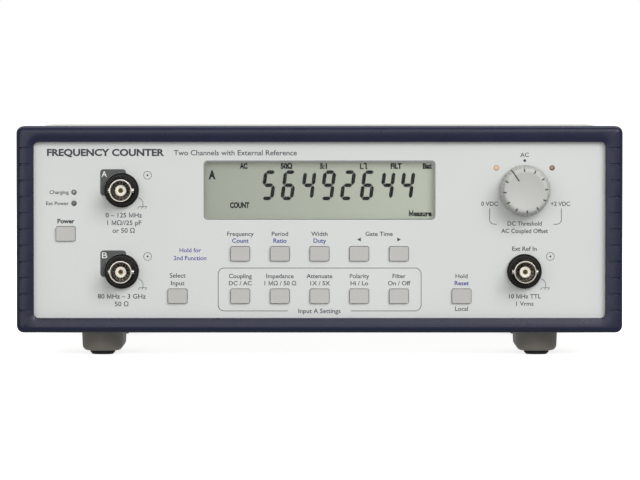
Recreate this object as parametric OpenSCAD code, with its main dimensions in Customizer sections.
// Bench frequency counter in a half-rack plastic case, on four feet.
// Units are millimetres. +X is to the viewer's right, +Y runs to the back and +Z is up.
// The origin is on the table, under the middle of the whole object.

/* [Case] */
// Width over the front bezel
case_w = 261; // [254:1:270]
// Height of the front bezel, without the feet
bezel_h = 89; // [87:0.5:92]
// Depth from the bezel's front to the covers' rear edge
case_d = 235; // [215:1:260]
// Depth of the front bezel
bezel_d = 16; // [15:0.5:18]
// How far the covers lie inside the bezel's outline
cover_inset = 1.2; // [1:0.1:1.6]
// Wall of the covers and of the bezel's skirt
wall = 2.5; // [2.4:0.1:2.8]
// Corner radius of the bezel, seen from the front
corner_r = 3; // [2.8:0.1:4]
// Radius of the bezel's front edge
edge_r = 2.2; // [1:0.1:2.4]
// How far the bezel's face falls back towards the panel's opening
crown = 0.7; // [0.3:0.1:0.9]
// Width of the bezel's face at the left and right
side_band = 7.4; // [6.4:0.1:7.4]
// Width of the bezel's face at the top
top_band = 6.8; // [6.4:0.1:7.2]
// Width of the bezel's face at the bottom
bottom_band = 6.3; // [6:0.1:7]
// How far the panel's face lies behind the bezel's front
panel_recess = 3.5; // [3:0.1:4]
// Height from the table to the bezel's lower edge
foot_h = 10.5; // [10:0.5:12]

/* [Grip grooves] */
// Number of grooves down each side
groove_n = 11; // [3:2:11]
// Distance between grooves
groove_pitch = 7; // [6:0.1:7]
// Width of a groove
groove_w = 0.8; // [0.6:0.1:1.4]
// Depth of a groove in the bezel
groove_depth = 0.4; // [0.3:0.1:0.8]

/* [Front panel] */
// Thickness of the panel
panel_t = 3; // [2.6:0.1:3.2]
// Distance from the panel's face to the main board
board_gap = 12; // [12:0.5:13]
// Width of the display window
window_w = 99; // [96:0.5:100]
// Height of the display window
window_h = 24.6; // [24:0.1:25]
// Height of the window's centre above the panel's centre
window_z = 16.9; // [16.5:0.1:17.3]

/* [Keys] */
// Width of a key
key_w = 8.1; // [7.8:0.1:9]
// Height of a key
key_h = 6.1; // [5.8:0.1:6.6]
// How far a key stands out of the panel
key_out = 1.3; // [1:0.1:1.6]
// How far a key can be pressed
key_travel = 0.8; // [0.5:0.1:0.8]
// Distance between key columns
key_pitch = 17.1; // [16.5:0.1:17.5]
// Height of the upper key row, from the panel's centre
key_row_upper = -10.5; // [-11:0.1:-10]
// Height of the lower key row, from the panel's centre
key_row_lower = -28.8; // [-29.2:0.1:-28.2]

/* [Threshold knob] */
// Radius of the knob at the panel
knob_r = 11; // [10.6:0.1:11.5]
// Radius of the knob where its flank meets the rounded edge of its face
knob_face_r = 9.8; // [9.4:0.1:10.2]
// Depth of the dish in the knob's face
knob_dish = 1; // [0.5:0.1:1.2]
// Number of flutes round the knob, three for each mark
knob_flutes = 36; // [24:12:48]
// How far the knob and the connectors may stand out of the bezel
front_reach = 10; // [9.8:0.1:11]
// Angle of the pointer, clockwise from straight up
knob_pointer = -34; // [-150:1:150]

/* [Connectors] */
// Radius of a connector's black nose
bnc_nose_r = 7.4; // [7:0.1:7.6]
// How far the black nose stands out of the panel
bnc_nose_out = 3; // [2.5:0.1:3.5]
// Radius of a connector's metal shell ahead of its lugs
bnc_shell_r = 4.8; // [4.8:0.01:4.85]
// Inner radius of a connector's metal shell
bnc_bore_r = 4.05; // [4.05:0.01:4.1]

/* [Feet] */
// Radius of a foot
foot_r = 9.1; // [9:0.1:10]
// Distance of the feet from the middle of the case
foot_x = 94.5; // [90:0.5:96]
// Distance of the feet from the front and back of the case
foot_inset = 28; // [26:0.5:32]
// Height that the rubber pad shows under a foot
pad_out = 1.6; // [1.2:0.1:2]
// Length of a tilt leg, from its pivot
leg_l = 26; // [22:0.5:27]
// Thickness of a tilt leg
leg_t = 5; // [4.6:0.1:5]

/* [Hidden] */
$fn = 48;
eps = 0.01;
gap = 0.1;                                   // clearance between parts that slide together on assembly
mid_z = foot_h + bezel_h / 2;                // height of the panel's centre
front_y = -(case_d - front_reach) / 2;       // the bezel's front face
back_y = front_y + case_d;                   // the covers' rear edge
panel_y = front_y + panel_recess;            // the panel's face
open_w = case_w - 2 * side_band;             // the bezel's opening
open_h = bezel_h - top_band - bottom_band;
open_z = (bottom_band - top_band) / 2;       // its centre, from the panel's centre
skirt_w = case_w - 2 * wall;                 // inside of the bezel's skirt
skirt_h = bezel_h - 2 * wall;
cover_w = case_w - 2 * cover_inset;          // outside of the covers
cover_h = bezel_h - 2 * cover_inset;
cover_r = corner_r - 0.5;
room_w = cover_w - 2 * wall;                 // inside of the covers
room_h = cover_h - 2 * wall;
room_r = 1.5;
floor_z = mid_z - cover_h / 2;               // underside of the bottom cover
room_z = floor_z + wall;                     // floor inside the case
panel_w = skirt_w - 0.6;                     // the front and rear panels share an outline
panel_h = skirt_h - 0.6;
rear_t = 2;                                  // thickness of the rear panel
rear_y = back_y - 6;                         // outer face of the rear panel
board_t = 1.6;
vent_n = 14;                                 // slots in the rear panel
vent_pitch = 6;
vent_x = -98;                                // the first slot, from the middle of the panel
vent_size = [2, 40];
cover_y = front_y + bezel_d;                 // where the covers come out of the bezel
lip_y = panel_y + panel_t;                   // where the covers' lips meet the panel's back

groove_rim = 1.2;                            // how far the grooves end from the bezel's outer edge
snap_x = [-80, 0, 80];                       // snap windows along the top and bottom lips
snap_w = 12;
snap_y = [lip_y + 3, lip_y + 6];

// Board pillars on the panel's back: [x, z] from the panel's centre
pillars = [for (x = [-119, 119], z = [-31, 31]) [x, z], [-62, 25], [62, 25], [-47.5, -20], [47.5, -20]];
pillar_r = 3.5;
pillar_bore_r = 1.3;

// Connectors: [name, x, z] from the panel's centre
connectors = [["a", -85.3, 16.9], ["b", -85.3, -18.1], ["ref", 88.3, -18.1]];
bnc_out = 13.2;                              // front edge of the metal shell, from the panel
bnc_depth = 8.9;                             // depth of the socket
bnc_core_back = 3.3;                         // how far the insulator lies behind the shell's edge
bnc_lug_back = 4.8;                          // how far the bayonet lugs lie behind the shell's edge
bnc_lug_r = 0.95;
bnc_neck_r = bnc_shell_r - 0.3;              // radius of the shell behind its front land
bnc_land = 3.4;                              // length of the front land
bnc_nose_edge = 0.6;                         // width of the chamfer round the black nose
bnc_mouth = 0.4;                             // width of the chamfer inside the shell's edge
bnc_contact_back = 1.6;                      // how far the contact lies behind the insulator's front
bnc_lug_reach = 5.55;                        // the lugs' ends, from the connector's axis
bnc_core_r = 2.4;
bnc_pin_r = 1.05;
bnc_pin_bore_r = 0.68;

// Indicator lamps: [name, x, z] from the panel's centre
lamps = [
    ["led_charging", -105.8, 16],
    ["led_ext_power", -105.8, 11.2],
    ["led_threshold_low", 76.2, 26.5],
    ["led_threshold_high", 100.2, 26.5],
];
lamp_r = 1.05;

// Keys: [name, x, z] from the panel's centre
side_key_x = 61.2;
keys = [
    ["key_power", -109.4, -1.9],
    ["key_select_input", -side_key_x, key_row_lower],
    ["key_hold", side_key_x, key_row_lower],
    ["key_frequency", -2 * key_pitch, key_row_upper],
    ["key_period", -key_pitch, key_row_upper],
    ["key_width", 0, key_row_upper],
    ["key_gate_down", key_pitch, key_row_upper],
    ["key_gate_up", 2 * key_pitch, key_row_upper],
    ["key_coupling", -2 * key_pitch, key_row_lower],
    ["key_impedance", -key_pitch, key_row_lower],
    ["key_attenuator", 0, key_row_lower],
    ["key_polarity", key_pitch, key_row_lower],
    ["key_filter", 2 * key_pitch, key_row_lower],
];
key_gap = 0.2;                               // clearance between a key and its hole
key_flange = 0.9;                            // how far a key's flange reaches behind the panel
switch_h = 4.3;                              // height of a key switch over the board

knob_x = 88.4;
knob_z = 16.7;
knob_lift = 0.8;                             // gap between the knob and the panel
knob_foot = knob_lift + 1.2;                 // where the knob's straight skirt ends and its flank starts
knob_edge = 1.5;                             // radius of the round edge of the knob's face
knob_mark_w = 0.6;                           // width of the grooves for the marks and the pointer
knob_mark_depth = 0.35;
knob_out = panel_recess + front_reach;       // the knob's face, from the panel
shaft_r = 3;
shaft_flat = 2.1;                            // distance of the shaft's flat from its axis
pot_r = 8.5;

lcd_w = 104;
lcd_h = 30;
lcd_front = 4.2;                             // the glass's front, behind the panel's face
lcd_t = 2.8;

foot_y = [front_y + foot_inset, back_y - foot_inset];
foot_round = 2.5;                            // radius of a foot's lower edge
pad_r = 5.4;
pad_hole_r = 5.5;
pad_seat = 1.4;                              // how deep the pad sits in its foot
foot_body_l = 36.5;                          // length of a front foot behind its round nose
leg_w = 12.4;
leg_slot_w = 13;
leg_pivot_y = 12.5;                          // the pivot, behind the centre of the foot's nose
leg_roof = 3.7;                              // height of the slot's roof over the pivot
leg_pivot_z = floor_z - 2 - leg_roof;
leg_heel = 3.55;                             // length of the heel that stops the leg when it is out
leg_pin_r = 1.5;
leg_pin_reach = leg_slot_w / 2 + 1.8;

case_screw_x = 112;
case_screw_y = [front_y + 50, back_y - 50];
case_boss_r = 4.5;
case_seat_z = floor_z + 3.3;                 // where a case screw's head bears
case_screw_r = 1.95;

// Rear board, on pillars on the case's floor
rear_board_x = [40, 106];
rear_board_y = [rear_y - rear_t - 48, rear_y - rear_t - 1];
rear_board_z = room_z + 10;
usb_x = 60;
usb_size = [12, 16, 11];
usb_out = 0.5;                               // how far the socket stands out of the rear panel
dc_x = 88;
dc_size = [9, 13, 11];
dc_nose_r = 4.1;

// Battery tray on the case's floor
cell_r = 7.1;
cell_l = 50;
cell_n = 4;
cell_pitch = 15;
battery_x = -45;
battery_y = 20;
tray_wall = 2;

cable_x = 60;
cable_w = 16;
cable_t = 1;
cable_z = mid_z - 25;                        // height of the ribbon cable's front end
cable_sag = 9;
socket_l = 8;                                // length of a ribbon cable socket

navy = [0.20, 0.21, 0.29];
pale = [0.82, 0.83, 0.81];
key_grey = [0.74, 0.74, 0.72];
foot_grey = [0.39, 0.38, 0.36];
black = [0.08, 0.08, 0.08];
nickel = [0.75, 0.74, 0.70];
board_green = [0.10, 0.35, 0.20];

// ---- Shared shapes ----

// A rectangle with round corners, centred on the origin
module rounded_rect(w, h, r, n = 5) {
    polygon([for (q = [0:3], i = [0:n])
        let (a = 90 * (q + i / n), sx = (q == 0 || q == 3) ? 1 : -1, sy = q < 2 ? 1 : -1)
        [sx * (w / 2 - r) + r * cos(a), sy * (h / 2 - r) + r * sin(a)]]);
}

// A rounded plate between two heights
module plate(w, h, r, z0, z1) {
    translate([0, 0, z0]) linear_extrude(z1 - z0) rounded_rect(w, h, r);
}

// A cylinder between two heights
module rod(r, z0, z1) {
    translate([0, 0, z0]) cylinder(r = r, h = z1 - z0);
}

// A box between two corners
module block(low, high) {
    translate(low) cube(high - low);
}

// Children at [x, z] from the panel's centre, their own +Z pointing out of the panel's face
module on_panel(x = 0, z = 0) {
    translate([x, panel_y, mid_z + z]) rotate([90, 0, 0]) children();
}

// A rounded section of the case, between two places along its depth
module section(w, h, r, y0, y1) {
    translate([0, y1, mid_z]) rotate([90, 0, 0]) linear_extrude(y1 - y0) rounded_rect(w, h, r);
}

// A pan-head screw with a cross recess, its head's seat at the origin and its shank along +Z
module screw(head_r, head_h, shank_r, shank_l) {
    difference() {
        union() {
            rod(head_r, -head_h, 0);
            rod(shank_r, -eps, shank_l);
        }
        for (a = [0, 90])
            rotate(a) block([-head_r * 0.6, -0.4, -head_h - 1], [head_r * 0.6, 0.4, -head_h * 0.45]);
    }
}

// ---- Case ----

// The bezel's outer shape, drawn in by an even distance
module bezel_outline(inset = 0) {
    hull() {
        plate(case_w - 2 * inset, bezel_h - 2 * inset, corner_r,
              panel_recess - bezel_d - 1, panel_recess - inset - edge_r);
        for (a = [22.5, 45, 67.5, 90]) {
            step = edge_r * (1 - cos(a));
            plate(case_w - 2 * (inset + step), bezel_h - 2 * (inset + step), corner_r - step,
                  0, panel_recess - inset - edge_r * (1 - sin(a)));
        }
    }
}

// The space in front of the bezel's crowned face: [distance from the opening, depth] from the outside in
module bezel_crown() {
    fall = [[3.6, 0], [1.9, 0.25 * crown], [-eps, crown]];
    for (i = [0:1]) hull() {
        for (f = [fall[i], fall[i + 1]])
            plate(open_w + 2 * f[0], open_h + 2 * f[0], 2 + f[0],
                  panel_recess - f[1], panel_recess - f[1] + eps);
        plate(open_w + 2 * fall[i][0], open_h + 2 * fall[i][0], 2 + fall[i][0],
              panel_recess, panel_recess + 1);
    }
}

// Grip grooves on the face, which stop short of its outer edge, and on the sides behind that edge
module groove_slabs() {
    for (k = [-(groove_n - 1) / 2 : (groove_n - 1) / 2], s = [-1, 1])
        translate([0, k * groove_pitch, 0]) scale([s, 1, 1]) {
            block([open_w / 2 - 1, -groove_w / 2, 0],
                  [case_w / 2 - groove_rim, groove_w / 2, panel_recess + 1]);
            block([case_w / 2 - 2, -groove_w / 2, -bezel_d],
                  [case_w / 2 + 1, groove_w / 2, panel_recess - 2 * edge_r]);
        }
}

module front_bezel() {
    color(navy) on_panel() {
        difference() {
            bezel_outline();
            translate([0, 0, panel_recess - bezel_d - 2])
                linear_extrude(2) square([2 * case_w, 2 * bezel_h], center = true);
            translate([0, open_z, 0]) {
                plate(open_w, open_h, 2, -1, panel_recess + 1);
                bezel_crown();
            }
            plate(skirt_w, skirt_h, 2.5, -bezel_d - 1, 0);
            difference() {
                groove_slabs();
                bezel_outline(groove_depth);
            }
        }
        for (x = snap_x, s = [-1, 1])
            translate([x, s * (skirt_h / 2 - 0.35), panel_y - (snap_y[0] + snap_y[1]) / 2])
                cube([snap_w - 0.4, 0.9, snap_y[1] - snap_y[0] - 0.4], center = true);
    }
}

module front_panel() {
    color(pale) on_panel() difference() {
        union() {
            plate(panel_w, panel_h, 2.5, -panel_t, 0);
            for (p = pillars)
                translate([p.x, p.y, 0]) rod(pillar_r, -board_gap, -panel_t + eps);
        }
        translate([0, window_z, 0]) plate(window_w, window_h, 1.4, -panel_t - 1, 1);
        for (k = keys)
            translate([k[1], k[2], 0])
                plate(key_w + 2 * key_gap, key_h + 2 * key_gap, 0.8, -panel_t - 1, 1);
        for (c = connectors)
            translate([c[1], c[2], 0]) rod(bnc_nose_r + gap, -panel_t - 1, 1);
        for (l = lamps)
            translate([l[1], l[2], 0]) rod(lamp_r + gap, -panel_t - 1, 1);
        translate([knob_x, knob_z, 0]) rod(4, -panel_t - 1, 1);
        for (p = pillars)
            translate([p.x, p.y, 0]) rod(pillar_bore_r, -board_gap - 1, -panel_t - 1);
    }
}

// The clear window: a flange behind the panel and a raised pane in its opening
module display_window() {
    color([0.85, 0.9, 0.9, 0.4]) on_panel(0, window_z) {
        plate(window_w + 3.4, window_h + 3.4, 1.5, -panel_t - 1, -panel_t);
        plate(window_w - 0.2, window_h - 0.2, 1.3, -panel_t - eps, -1.2);
    }
}

// Both covers in one: body, lip behind the bezel, groove for the rear panel and side grooves
module cover_shell() {
    difference() {
        union() {
            section(cover_w, cover_h, cover_r, cover_y, back_y);
            section(skirt_w - 2 * gap, skirt_h - 2 * gap, 2.4, lip_y, cover_y + eps);
        }
        section(room_w, room_h, room_r, lip_y - 1, back_y + 1);
        section(panel_w + 2 * gap, panel_h + 2 * gap, 2.5, rear_y - rear_t - gap, rear_y + gap);
        for (x = snap_x, s = [-1, 1])
            translate([x, (snap_y[0] + snap_y[1]) / 2, mid_z + s * skirt_h / 2])
                cube([snap_w, snap_y[1] - snap_y[0], 4 * wall], center = true);
        for (k = [1 : (groove_n - 1) / 2], s = [-1, 1], side = [-1, 1])
            translate([side * cover_w / 2, (cover_y + back_y) / 2, mid_z + s * k * groove_pitch])
                cube([1, back_y - cover_y - 24, groove_w], center = true);
    }
}

module case_screw_places() {
    for (x = [-case_screw_x, case_screw_x], y = case_screw_y)
        translate([x, y, 0]) children();
}

module foot_places() {
    for (x = [-foot_x, foot_x], y = foot_y)
        translate([x, y, 0]) children();
}

module top_cover() {
    color(pale) difference() {
        union() {
            difference() {
                cover_shell();
                block([-case_w, front_y - 1, 0], [case_w, back_y + 2, mid_z]);
            }
            case_screw_places() rod(case_boss_r, mid_z, mid_z + room_h / 2 + eps);
        }
        case_screw_places() rod(case_screw_r + gap / 2, mid_z - 1, mid_z + 14);
    }
}

module bottom_cover() {
    color(pale) difference() {
        union() {
            difference() {
                cover_shell();
                block([-case_w, front_y - 1, mid_z], [case_w, back_y + 2, mid_z + case_w]);
            }
            case_screw_places() {
                rod(case_boss_r, room_z - eps, mid_z);
                rod(case_boss_r + 1.5, room_z - eps, room_z + 5);
            }
            foot_places() rod(4, room_z - eps, room_z + 8);
            rear_board_places() rod(pillar_r, room_z - eps, rear_board_z);
        }
        case_screw_places() {
            rod(3.8, floor_z - 1, case_seat_z);
            rod(2.2, floor_z, mid_z + 1);
        }
        foot_places() rod(1.75, floor_z - 1, room_z + 7);
        rear_board_places() rod(pillar_bore_r, room_z + 1, rear_board_z + 1);
    }
}

module rear_panel() {
    color(pale) difference() {
        section(panel_w, panel_h, 2.4, rear_y - rear_t, rear_y);
        block([usb_x - usb_size.x / 2 - 0.3, rear_y - rear_t - 1, rear_board_z + board_t - 0.3],
              [usb_x + usb_size.x / 2 + 0.3, rear_y + 1, rear_board_z + board_t + usb_size.z + 0.3]);
        translate([dc_x, rear_y + 1, rear_board_z + board_t + dc_size.z / 2])
            rotate([90, 0, 0]) cylinder(r = dc_nose_r + 0.2, h = rear_t + 2);
        for (i = [0 : vent_n - 1])
            translate([vent_x + i * vent_pitch, rear_y + 1, mid_z]) rotate([90, 0, 0])
                plate(vent_size.x, vent_size.y, vent_size.x / 2 - eps, 0, rear_t + 2);
    }
}

module case_screws() {
    color(nickel) case_screw_places()
        translate([0, 0, case_seat_z]) screw(3.5, 2.4, case_screw_r, mid_z + 10 - case_seat_z);
}

// ---- Feet ----

// Half of a foot's cross-section, from its axis outwards
function foot_half() = [
    [0, pad_out],
    for (i = [0:5])
        let (a = -90 + 18 * i)
        [foot_r - 0.3 - foot_round + foot_round * cos(a), pad_out + foot_round + foot_round * sin(a)],
    [foot_r, floor_z],
    [0, floor_z],
];

module foot_bores() {
    rod(pad_hole_r, pad_out - 1, pad_out + pad_seat);
    rod(3.3, pad_out, pad_out + 5);
    rod(1.85, pad_out, floor_z + 1);
}

module rear_foot() {
    color(foot_grey) difference() {
        rotate_extrude() polygon(foot_half());
        foot_bores();
    }
}

// A front foot: a round nose, and behind it two cheeks with the tilt leg's slot between them
module front_foot() {
    half = foot_half();
    outline = concat([for (i = [1 : len(half) - 2]) half[i]],
                     [for (i = [len(half) - 2 : -1 : 1]) [-half[i].x, half[i].y]]);
    color(foot_grey) difference() {
        union() {
            rotate_extrude() polygon(half);
            translate([0, foot_body_l, 0]) rotate([90, 0, 0])
                linear_extrude(foot_body_l) polygon(outline);
        }
        foot_bores();
        block([-leg_slot_w / 2, leg_pivot_y - 3.8, 0],
              [leg_slot_w / 2, foot_body_l + 1, leg_pivot_z + leg_roof]);
        translate([-leg_pin_reach - 0.2, leg_pivot_y, leg_pivot_z]) rotate([0, 90, 0])
            cylinder(r = leg_pin_r + 0.06, h = 2 * leg_pin_reach + 0.4);
    }
}

// A tilt leg folded into its foot, on its two pivot pins. Its heel meets the slot's roof when it is out.
module tilt_leg() {
    half = leg_t / 2;
    color(foot_grey) translate([0, leg_pivot_y, leg_pivot_z]) {
        translate([-leg_w / 2, 0, 0]) rotate([90, 0, 90]) linear_extrude(leg_w) polygon([
            [0, half], [-1.5, half - 0.1], [-2.8, 1.6], [-leg_heel, 0.4], [-leg_heel, -1.2], [-2.4, -half],
            for (i = [0:6])
                let (a = -90 + 30 * i)
                [leg_l - half + half * cos(a), half * sin(a)],
        ]);
        translate([-leg_pin_reach, 0, 0]) rotate([0, 90, 0])
            cylinder(r = leg_pin_r, h = 2 * leg_pin_reach);
    }
}

module foot_pads() {
    color(black) foot_places() {
        cylinder(r1 = pad_r - 1, r2 = pad_r, h = pad_out * 0.6);
        rod(pad_r, pad_out * 0.6 - eps, pad_out + pad_seat);
    }
}

module foot_screws() {
    color(nickel) foot_places()
        translate([0, 0, pad_out + 5]) screw(3, 2, 1.7, floor_z + 8 - pad_out - 5);
}

// ---- Controls on the front ----

module key_cap(x, z) {
    back = panel_t + gap;
    color(key_grey) on_panel(x, z) {
        plate(key_w, key_h, 0.6, -back, key_out);
        plate(key_w + 2 * key_flange, key_h + 2 * key_flange, 0.6, -back - 1, -back + eps);
        rod(1.5, -board_gap + switch_h + key_travel + 0.05, -back - 1 + eps);
    }
}

module key_switches() {
    color(black) for (k = keys) on_panel(k[1], k[2]) {
        translate([0, 0, -board_gap + 1.75]) cube([6, 6, 3.5], center = true);
        rod(1.75, -board_gap + 3.5 - eps, -board_gap + switch_h);
    }
}

// Half of the knob's cross-section, drawn in by an even distance: base, tapered flank, round edge, dish
function knob_half(inset = 0) =
    let (dish_r = knob_face_r - knob_edge, edge = knob_edge - inset, n = 6) [
        [0, knob_lift],
        [knob_r - inset, knob_lift],
        [knob_r - inset, knob_foot],
        for (i = [0:4])
            let (a = 90 * i / 4)
            [dish_r + edge * cos(a), knob_out - knob_edge + edge * sin(a)],
        for (i = [1:n])
            [dish_r * (1 - i / n), knob_out - inset - knob_dish * (1 - pow(1 - i / n, 2))],
    ];

// The cut for a mark, from a radius outwards and above a height
module mark_cut(r, z) {
    block([-knob_mark_w / 2, r, z], [knob_mark_w / 2, knob_r + 1, knob_out + 1]);
}

// The knob, with flutes round its flank, eleven marks and a pointer, and a hub round the shaft's flat
module threshold_knob() {
    flank_top = knob_out - knob_edge;
    taper = atan((knob_r - knob_face_r) / (flank_top - knob_foot));
    color(pale) on_panel(knob_x, knob_z) rotate(-knob_pointer) difference() {
        rotate_extrude() polygon(knob_half());
        difference() {
            rod(knob_face_r - 1.6, 0, knob_out - 4.5);
            rod(shaft_r + 2, 0, knob_out);
        }
        intersection() {
            rod(shaft_r + 0.05, 0, knob_out - 2.2);
            block([-4, -4, 0], [4, shaft_flat + 0.05, knob_out]);
        }
        for (k = [1 : knob_flutes - 1])
            rotate(-360 * k / knob_flutes) translate([0, knob_r + 0.3, knob_foot + 0.6])
                rotate([taper, 0, 0]) cylinder(r = 0.6, h = knob_out, $fn = 16);
        difference() {
            union() {
                for (k = [1:11]) rotate(-30 * k) mark_cut(knob_face_r - knob_edge, flank_top - 0.2);
                mark_cut(5, knob_foot);
            }
            rotate_extrude() polygon(knob_half(knob_mark_depth));
        }
    }
}

// The control's shaft, with the wiper disc at its inner end
module pot_shaft() {
    color(nickel) on_panel(knob_x, knob_z) rotate(-knob_pointer) {
        difference() {
            rod(shaft_r, -9.4, knob_out - 2.4);
            block([-4, shaft_flat, knob_lift], [4, 4, knob_out]);
        }
        rod(6.5, -10.4, -9.4 + eps);
    }
}

module pot_body() {
    color([0.25, 0.3, 0.35]) on_panel(knob_x, knob_z) difference() {
        union() {
            rod(pot_r, -board_gap, -6);
            rod(3.8, -6 - eps, -0.6);
        }
        rod(7, -10.9, -8.9);
        rod(shaft_r + 0.06, -9, 1);
    }
}

module lamp(x, z) {
    color([0.85, 0.6, 0.3]) on_panel(x, z) {
        rod(lamp_r, -7, 0.2);
        rod(1.6, -8, -7 + eps);
        for (s = [-1, 1])
            translate([s * 0.9, 0, (-board_gap - 8) / 2 + eps])
                cube([0.5, 0.5, board_gap - 8], center = true);
    }
}

// ---- Connectors ----

module bnc_housing(x, z) {
    color(black) on_panel(x, z) difference() {
        union() {
            rod(bnc_nose_r, -panel_t - 0.2, bnc_nose_out - bnc_nose_edge);
            translate([0, 0, bnc_nose_out - bnc_nose_edge - eps])
                cylinder(r1 = bnc_nose_r, r2 = bnc_nose_r - bnc_nose_edge, h = bnc_nose_edge + eps);
            plate(15.6, 15.6, 1, -board_gap, -panel_t - 0.2 + eps);
        }
        rod(bnc_neck_r + 0.05, -board_gap - 1, bnc_nose_out + 1);
        rod(bnc_shell_r + 0.7, bnc_nose_out - 0.8, bnc_nose_out + 1);
    }
}

module bnc_shell(x, z) {
    color(nickel) on_panel(x, z) difference() {
        union() {
            rod(bnc_neck_r, -9, bnc_out - bnc_land + eps);
            rod(bnc_shell_r, bnc_out - bnc_land, bnc_out);
            translate([-bnc_lug_reach, 0, bnc_out - bnc_lug_back]) rotate([0, 90, 0])
                cylinder(r = bnc_lug_r, h = 2 * bnc_lug_reach);
        }
        rod(bnc_bore_r, bnc_out - bnc_depth, bnc_out + 1);
        translate([0, 0, bnc_out - bnc_mouth])
            cylinder(r1 = bnc_bore_r, r2 = bnc_bore_r + bnc_mouth + eps, h = bnc_mouth + eps);
        rod(bnc_core_r + 0.05, -10, bnc_out);
    }
}

module bnc_insulators() {
    color([0.93, 0.92, 0.88]) for (c = connectors) on_panel(c[1], c[2]) difference() {
        rod(bnc_core_r, -10.5, bnc_out - bnc_core_back);
        rod(bnc_pin_r + 0.05, -11, bnc_out);
    }
}

module bnc_contacts() {
    color([0.80, 0.65, 0.30]) for (c = connectors) on_panel(c[1], c[2]) difference() {
        rod(bnc_pin_r, -board_gap - board_t - 1, bnc_out - bnc_core_back - bnc_contact_back);
        rod(bnc_pin_bore_r, bnc_out - bnc_core_back - bnc_contact_back - 6, bnc_out);
    }
}

// ---- Display ----

module lcd_glass() {
    color([0.65, 0.67, 0.62]) on_panel(0, window_z)
        plate(lcd_w, lcd_h, 0.5, -lcd_front - lcd_t, -lcd_front);
}

module lcd_frame() {
    seat = -lcd_front - lcd_t;
    color(black) on_panel(0, window_z) difference() {
        plate(lcd_w + 5, lcd_h + 5, 1.5, -board_gap, seat + 2);
        plate(lcd_w + 0.4, lcd_h + 0.4, 0.6, seat, seat + 3);
        plate(lcd_w - 6, lcd_h - 6, 0.6, -board_gap - 1, seat + 1);
    }
}

// Rubber strips that carry the segment signals from the board to the glass
module lcd_contact_strips() {
    color([0.55, 0.55, 0.5]) on_panel(0, window_z) for (s = [-1, 1])
        translate([0, s * (lcd_h / 2 - 4.3), (-board_gap - lcd_front - lcd_t) / 2])
            cube([lcd_w - 8, 2.2, board_gap - lcd_front - lcd_t], center = true);
}

// ---- Boards ----

module main_board() {
    color(board_green) on_panel() difference() {
        plate(246, 74, 2, -board_gap - board_t, -board_gap);
        for (p = pillars)
            translate([p.x, p.y, 0]) rod(1.7, -board_gap - 3, 0);
        for (c = connectors)
            translate([c[1], c[2], 0]) rod(1.3, -board_gap - 3, 0);
    }
}

module rear_board_places() {
    for (x = [rear_board_x[0] + 5, rear_board_x[1] - 5], y = [rear_board_y[0] + 5, rear_board_y[1] - 22])
        translate([x, y, 0]) children();
}

module rear_board() {
    color(board_green) difference() {
        block([rear_board_x[0], rear_board_y[0], rear_board_z],
              [rear_board_x[1], rear_board_y[1], rear_board_z + board_t]);
        rear_board_places() rod(1.7, rear_board_z - 1, rear_board_z + 3);
    }
}

module board_screws() {
    color(nickel) {
        for (p = pillars) on_panel(p.x, p.y)
            translate([0, 0, -board_gap - board_t]) screw(2.8, 2, 1.25, board_t + 6);
        rear_board_places() translate([0, 0, rear_board_z + board_t])
            rotate([180, 0, 0]) screw(2.8, 2, 1.25, board_t + 6);
    }
}

// A component on the main board's back: centre, size and height over the board
module on_board_back(x, z, w, h, t) {
    on_panel(x, z) translate([0, 0, -board_gap - board_t - t / 2]) cube([w, h, t], center = true);
}

module board_components() {
    color(black) {
        on_board_back(-8, 4, 20, 20, 2);
        on_board_back(22, 4, 14, 14, 1.6);
        for (i = [0:3]) on_board_back(-45 + 13 * i, -30, 8, 6, 1.8);
        for (i = [0:2]) on_board_back(-104, 31 - 11 * i, 14, 7.5, 9);
    }
}

module shield_can() {
    can = [34, 30, 7];
    color(nickel) on_panel(-86, -18) translate([0, 0, -board_gap - board_t]) difference() {
        translate([0, 0, -can.z / 2]) cube(can, center = true);
        translate([0, 0, -can.z / 2 + 0.5]) cube(can - [1, 1, 0], center = true);
    }
}

module timebase_oscillator() {
    color(nickel) on_board_back(45, 8, 20, 13, 9);
}

module usb_socket() {
    front = usb_size.y / 2;
    color(nickel)
        translate([usb_x, rear_y + usb_out - front, rear_board_z + board_t + usb_size.z / 2]) {
            difference() {
                cube(usb_size, center = true);
                block([-4.3, front - 9, -3.9], [4.3, front + 1, 3.9]);
            }
            block([-2.8, front - 9 - eps, -1.6], [2.8, front - 1, 1.6]);
        }
}

module dc_jack() {
    face = rear_y - rear_t;
    color(black)
        translate([dc_x, face, rear_board_z + board_t + dc_size.z / 2]) {
            difference() {
                union() {
                    block([-dc_size.x / 2, -dc_size.y, -dc_size.z / 2], [dc_size.x / 2, 0, dc_size.z / 2]);
                    rotate([-90, 0, 0]) rod(dc_nose_r, -eps, rear_t + 0.3);
                }
                rotate([-90, 0, 0]) rod(3.1, -8, rear_t + 1);
            }
            rotate([-90, 0, 0]) rod(1, -8 - eps, rear_t - 0.5);
        }
}

module battery_places() {
    for (i = [0 : cell_n - 1])
        translate([battery_x + (i - (cell_n - 1) / 2) * cell_pitch, battery_y, room_z + tray_wall + cell_r])
            children();
}

module battery_holder() {
    inner = [cell_n * cell_pitch, cell_l + 2];
    color(black) translate([battery_x, battery_y, room_z]) difference() {
        block([-inner.x / 2 - tray_wall, -inner.y / 2 - tray_wall, 0],
              [inner.x / 2 + tray_wall, inner.y / 2 + tray_wall, 12]);
        block([-inner.x / 2, -inner.y / 2, tray_wall], [inner.x / 2, inner.y / 2, 13]);
    }
}

module battery_cells() {
    color([0.25, 0.45, 0.35]) battery_places() rotate([90, 0, 0]) {
        cylinder(r = cell_r, h = cell_l - 1.5, center = true);
        rod(2.7, (cell_l - 1.5) / 2 - eps, cell_l / 2);
    }
}

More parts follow.
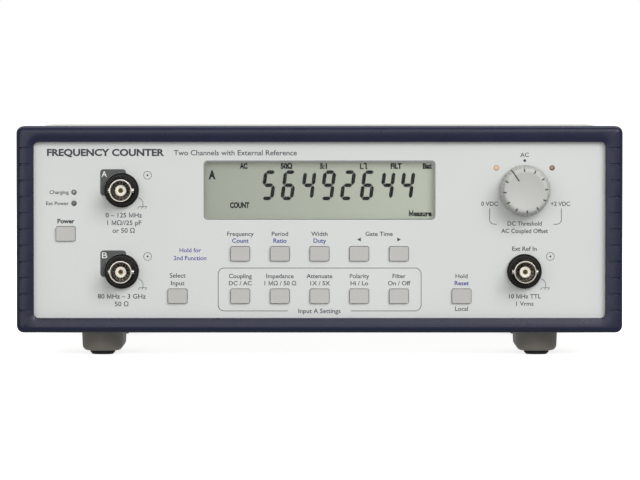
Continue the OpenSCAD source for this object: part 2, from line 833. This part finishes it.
// The ribbon cable hangs in a shallow curve between its two sockets
module ribbon_cable() {
    y0 = panel_y + board_gap + board_t + socket_l;
    y1 = rear_board_y[0] + 2;
    z1 = rear_board_z + board_t + 4;
    n = 16;
    line = [for (i = [0:n]) let (t = i / n)
        [y0 + (y1 - y0) * t, cable_z + (z1 - cable_z) * t - cable_sag * sin(180 * t)]];
    color([0.6, 0.6, 0.6]) translate([cable_x - cable_w / 2, 0, 0]) rotate([90, 0, 90])
        linear_extrude(cable_w) polygon(concat(
            [for (p = line) p + [0, cable_t / 2]],
            [for (i = [n : -1 : 0]) line[i] - [0, cable_t / 2]]));
}

module cable_sockets() {
    y0 = panel_y + board_gap + board_t;
    y1 = rear_board_y[0] + 2;
    z1 = rear_board_z + board_t;
    color(black) {
        block([cable_x - 10, y0, cable_z - 3], [cable_x + 10, y0 + socket_l, cable_z + 3]);
        block([cable_x - 10, y1, z1], [cable_x + 10, y1 + 6, z1 + socket_l]);
    }
}

// ---- Nodes ----

front_bezel();
front_panel();
display_window();
top_cover();
bottom_cover();
rear_panel();
case_screws();
foot_screws();
translate([-foot_x, foot_y[0], 0]) front_foot();  // foot_front_left
translate([foot_x, foot_y[0], 0]) front_foot();  // foot_front_right
translate([-foot_x, foot_y[1], 0]) rear_foot();  // foot_rear_left
translate([foot_x, foot_y[1], 0]) rear_foot();  // foot_rear_right
foot_pads();
translate([-foot_x, foot_y[0], 0]) tilt_leg();  // tilt_leg_left
translate([foot_x, foot_y[0], 0]) tilt_leg();  // tilt_leg_right
threshold_knob();
pot_shaft();
pot_body();
bnc_insulators();
bnc_contacts();
lcd_glass();
lcd_frame();
lcd_contact_strips();
main_board();
board_screws();
key_switches();
board_components();
shield_can();
timebase_oscillator();
rear_board();
usb_socket();
dc_jack();
battery_holder();
battery_cells();
ribbon_cable();
cable_sockets();
for (k = keys)
    key_cap(k[1], k[2]);
for (l = lamps)
    lamp(l[1], l[2]);
for (c = connectors) {
    bnc_housing(c[1], c[2]);
    bnc_shell(c[1], c[2]);
}
